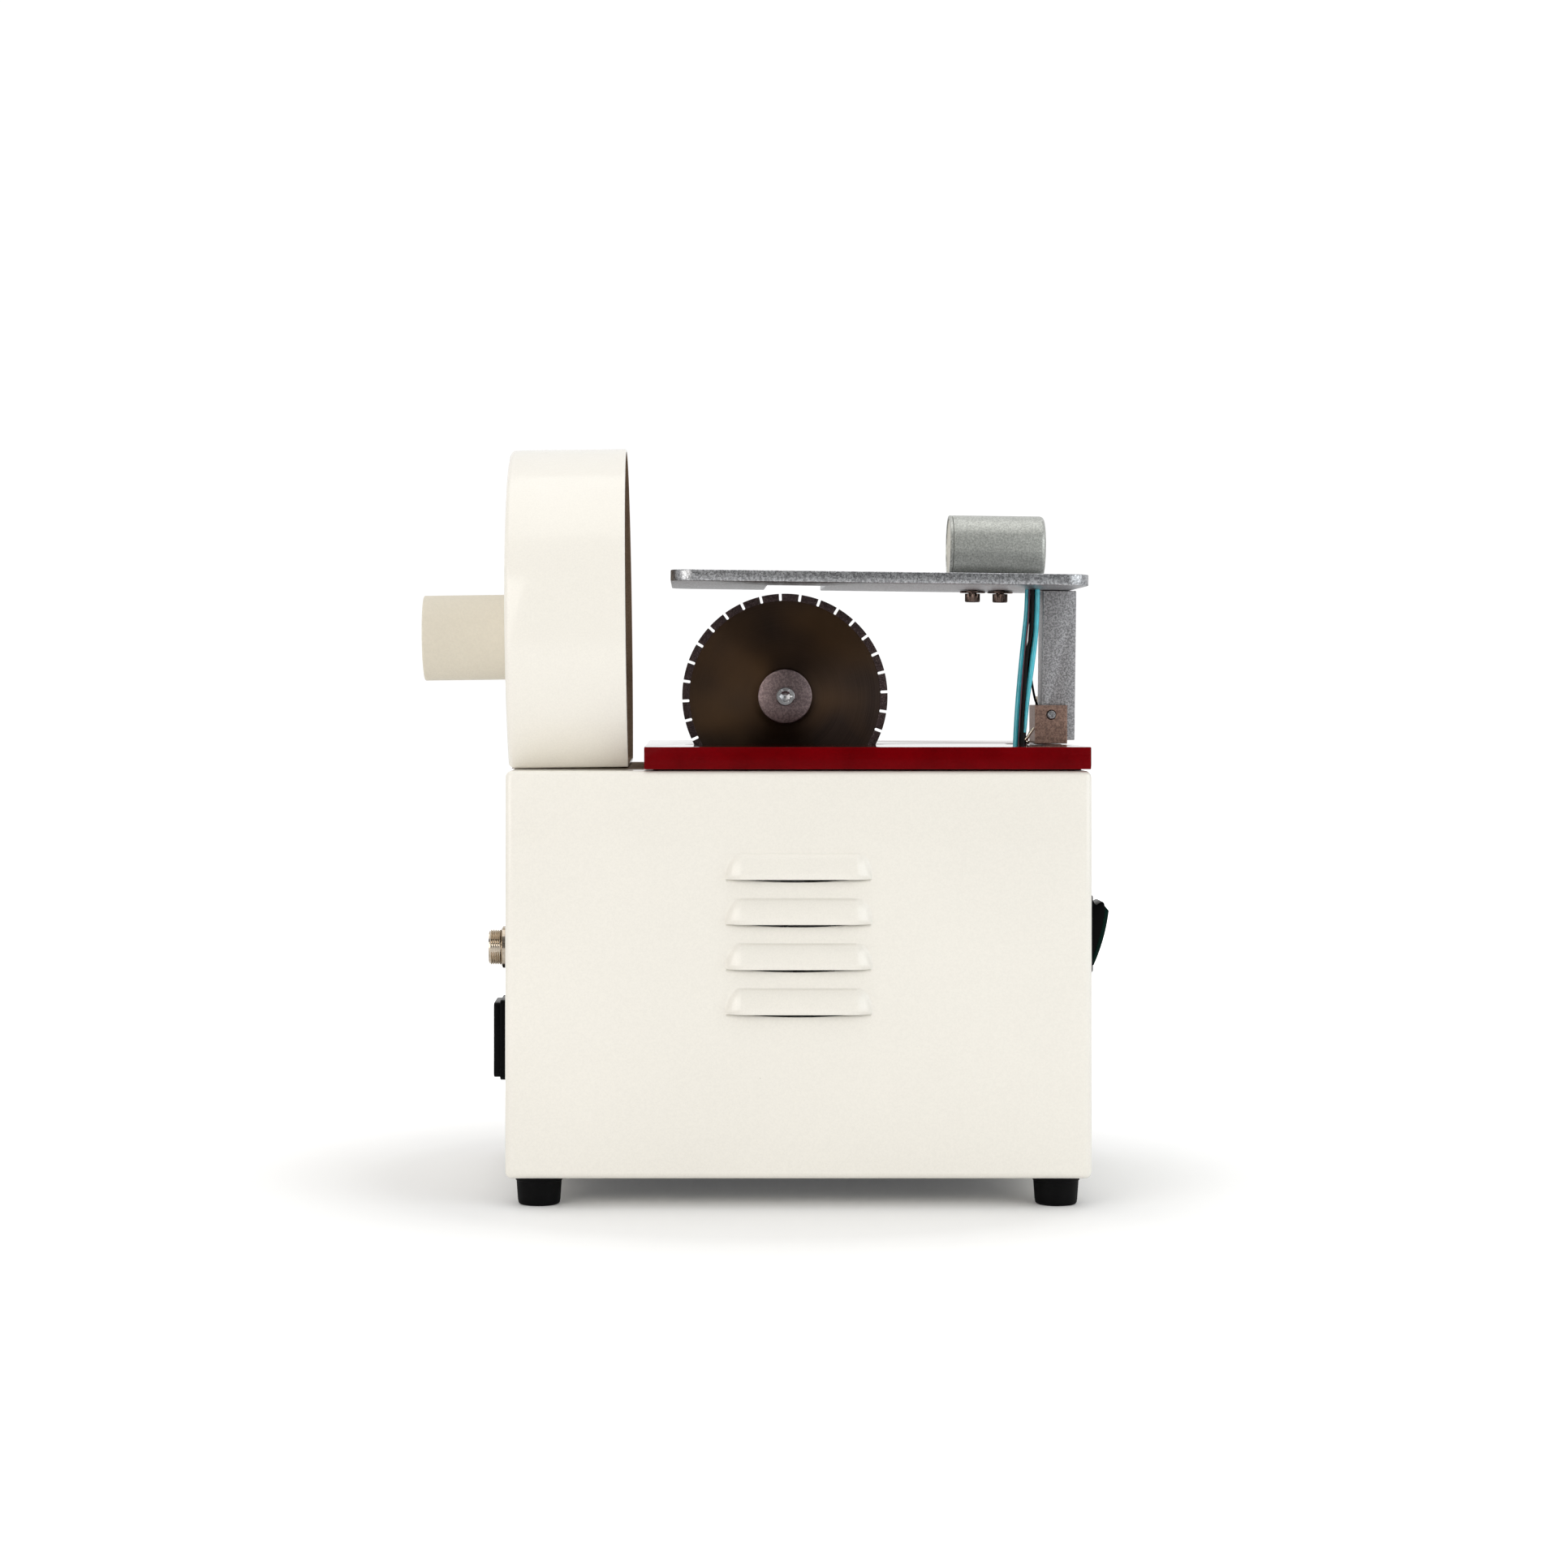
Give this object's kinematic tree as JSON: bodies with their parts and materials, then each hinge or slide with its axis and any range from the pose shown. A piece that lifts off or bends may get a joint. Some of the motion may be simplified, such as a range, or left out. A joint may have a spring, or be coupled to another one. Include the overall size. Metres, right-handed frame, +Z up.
{
  "type": "bench disc saw",
  "caption": "Bench disc saw with a louvred cabinet, red table, segmented disc on a belt-driven arbor, drum dust hood and hinged guard plate with a lamp.",
  "frame": {"origin": "at the bottom centre of the overall box, on the plane of the feet's bottoms", "axes": "+Z up; +X towards the switch panel and -X towards the dust hood; +Y away from the side that faces the blade's clamp screw; the blade turns about Y"},
  "size_m": [0.3126, 0.198, 0.3428],
  "materials": {
    "cream_paint": "semi-gloss powder coat with a fine texture",
    "port_paint": "matt powder coat with a coarse texture",
    "red_paint": "high-gloss enamel",
    "rubber": "matt black rubber",
    "black_plastic": "satin black moulding",
    "green_plastic": "dark green gloss moulding on black",
    "blasted_aluminium": "bead-blasted and clear anodised",
    "machined_steel": "turned or rolled bright steel",
    "brown_steel": "blasted steel, browned",
    "blade_steel": "dark steel with concentric brushing",
    "dark_steel": "black-oxide screws",
    "nickel": "bright nickel plate",
    "grey_paint": "satin grey lacquer on metal",
    "cyan_tube": "translucent cyan polyurethane",
    "cable_sheath": "satin dark cable sheath",
    "circuit_board": "green solder mask"
  },
  "bodies": {
    "root": {"base_plate": "machined_steel", "belt_cover": "cream_paint", "blade_trough": "machined_steel", "cabinet_shell": "cream_paint", "cable_grommet": "rubber", "clevis_block": "brown_steel", "connector_body": "nickel", "connector_nut": "nickel", "control_board": "circuit_board", "drive_belt": "rubber", "dust_hood": "cream_paint", "dust_port": "port_paint", "foot_front_far": "rubber", "foot_front_near": "rubber", "foot_rear_far": "rubber", "foot_rear_near": "rubber", "foot_screw_front_far": "machined_steel", "foot_screw_front_near": "machined_steel", "foot_screw_rear_far": "machined_steel", "foot_screw_rear_near": "machined_steel", "front_bearing": "machined_steel", "hinge_pin": "machined_steel", "hood_gasket": "rubber", "inlet_body": "black_plastic", "motor_bracket": "machined_steel", "motor_can": "machined_steel", "motor_front_bell": "blasted_aluminium", "power_supply": "machined_steel", "rear_bearing": "machined_steel", "return_spring": "nickel", "spindle_bolt_1": "dark_steel", "spindle_bolt_2": "dark_steel", "spindle_bolt_3": "dark_steel", "spindle_bolt_4": "dark_steel", "spindle_housing": "blasted_aluminium", "switch_body": "black_plastic", "table_gasket": "rubber", "worktable": "red_paint"},
    "arbor": {"saw_blade": "blade_steel", "front_flange": "blasted_aluminium", "rear_flange": "blasted_aluminium", "arbor_screw": "machined_steel", "arbor_shaft": "machined_steel", "arbor_pulley": "blasted_aluminium"},
    "motor_shaft": {"motor_rotor": "machined_steel", "motor_pulley": "blasted_aluminium"},
    "guard_arm": {"guard_plate": "blasted_aluminium", "guard_post": "blasted_aluminium", "lamp_housing": "grey_paint", "lamp_end_cap": "grey_paint", "lamp_washer_1": "dark_steel", "lamp_washer_2": "dark_steel", "lamp_screw_1": "dark_steel", "lamp_screw_2": "dark_steel", "air_tube_near": "cyan_tube", "air_tube_far": "cyan_tube", "lamp_cable": "cable_sheath"},
    "rocker": {"switch_rocker": "green_plastic"},
    "fuse_holder": {"fuse_drawer": "black_plastic"}
  },
  "joints": [
    {"name": "arm_tilt", "type": "hinge", "parent": "root", "child": "guard_arm", "pos_m": [0.13652, 0, 0.2179], "axis": [0, 1, 0], "range_deg": [-1.5, 9]},
    {"name": "motor_spin", "type": "hinge", "parent": "root", "child": "motor_shaft", "pos_m": [0.01282, 0, 0.1], "axis": [0, 1, 0], "continuous": true},
    {"name": "arbor_spin", "type": "hinge", "parent": "root", "child": "arbor", "pos_m": [0.01282, 0, 0.2265], "axis": [0, 1, 0], "continuous": true},
    {"name": "rocker_tilt", "type": "hinge", "parent": "root", "child": "rocker", "pos_m": [0.14592, -0.068, 0.1205], "axis": [0, 1, 0], "range_deg": [-31, 0]},
    {"name": "fuse_slide", "type": "slide", "parent": "root", "child": "fuse_holder", "axis": [-1, 0, 0], "range_m": [0, 0.015]}
  ],
  "couplings": [
    {"joint": "arbor_spin", "follows": "motor_spin", "ratio": 1.25}
  ]
}
